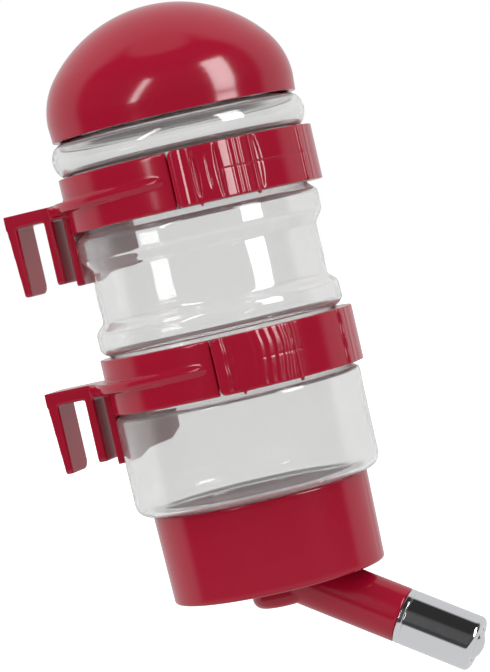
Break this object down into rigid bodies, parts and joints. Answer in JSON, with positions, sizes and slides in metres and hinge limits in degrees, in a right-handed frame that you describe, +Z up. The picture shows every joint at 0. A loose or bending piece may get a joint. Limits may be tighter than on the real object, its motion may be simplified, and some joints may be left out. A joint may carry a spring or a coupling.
{
  "type": "cage drinking bottle",
  "caption": "Clear ribbed bottle with a domed filling cap, a base cap with an angled ball-valve nozzle, and two hinged hook clamps that hang it on a cage.",
  "frame": {"origin": "middle of the upper hook's seat, the underside of its plate between the two prongs", "axes": "+Z up along the bottle's axis, -X towards the cage, +X towards the nozzle"},
  "size_m": [0.1188, 0.08, 0.2149],
  "materials": {
    "red_plastic": "glossy crimson moulding",
    "clear_bottle": "clear blown plastic",
    "seal_rubber": "matt silicone",
    "white_nylon": "satin nylon",
    "bright_steel": "polished, drawn",
    "ball_steel": "polished ball",
    "spring_steel": "drawn wire"
  },
  "bodies": {
    "clamps": {"upper_clamp_frame": "red_plastic", "lower_clamp_frame": "red_plastic", "upper_hinge_pin": "spring_steel", "lower_hinge_pin": "spring_steel"},
    "upper_strap": {"upper_clamp_strap": "red_plastic"},
    "lower_strap": {"lower_clamp_strap": "red_plastic"},
    "bottle": {"bottle": "clear_bottle"},
    "dome_lift": {"dome_seal": "seal_rubber"},
    "dome": {"dome_cap": "red_plastic"},
    "base_drop": {"base_seal": "seal_rubber"},
    "base": {"base_cap": "red_plastic", "nozzle_elbow": "red_plastic", "elbow_seal": "seal_rubber", "elbow_nut": "white_nylon", "nozzle_sleeve": "bright_steel", "sleeve_seal": "seal_rubber", "spring_retainer": "white_nylon", "ball_spring": "spring_steel"},
    "ball": {"nozzle_ball": "ball_steel"}
  },
  "joints": [
    {"name": "upper_strap_hinge", "type": "hinge", "parent": "clamps", "child": "upper_strap", "pos_m": [0.05862, 0.03743, 0.0026], "axis": [0, 0, 1], "range_deg": [0, 105]},
    {"name": "lower_strap_hinge", "type": "hinge", "parent": "clamps", "child": "lower_strap", "pos_m": [0.05862, 0.03743, -0.0532], "axis": [0, 0, 1], "range_deg": [0, 105]},
    {"name": "bottle_turn", "type": "hinge", "parent": "clamps", "child": "bottle", "pos_m": [0.051, 0, -0.034], "axis": [0, 0, 1], "continuous": true},
    {"name": "dome_rise", "type": "slide", "parent": "bottle", "child": "dome_lift", "axis": [0, 0, 1], "range_m": [0, 0.006]},
    {"name": "dome_turn", "type": "hinge", "parent": "dome_lift", "child": "dome", "pos_m": [0.051, 0, 0.028], "axis": [0, 0, 1], "range_deg": [0, 540]},
    {"name": "base_fall", "type": "slide", "parent": "bottle", "child": "base_drop", "axis": [0, 0, -1], "range_m": [0, 0.006]},
    {"name": "base_turn", "type": "hinge", "parent": "base_drop", "child": "base", "pos_m": [0.051, 0, -0.102], "axis": [0, 0, -1], "range_deg": [0, 540]},
    {"name": "ball_push", "type": "slide", "parent": "base", "child": "ball", "axis": [-0.8508, 0, 0.5255], "range_m": [0, 0.0025], "stiffness_N_per_m": 80, "springref_m": -0.001, "deforming": ["ball_spring"]}
  ],
  "couplings": [
    {"joint": "dome_rise", "follows": "dome_turn", "m_per_rad": 0.00063662},
    {"joint": "base_fall", "follows": "base_turn", "m_per_rad": 0.00063662}
  ]
}
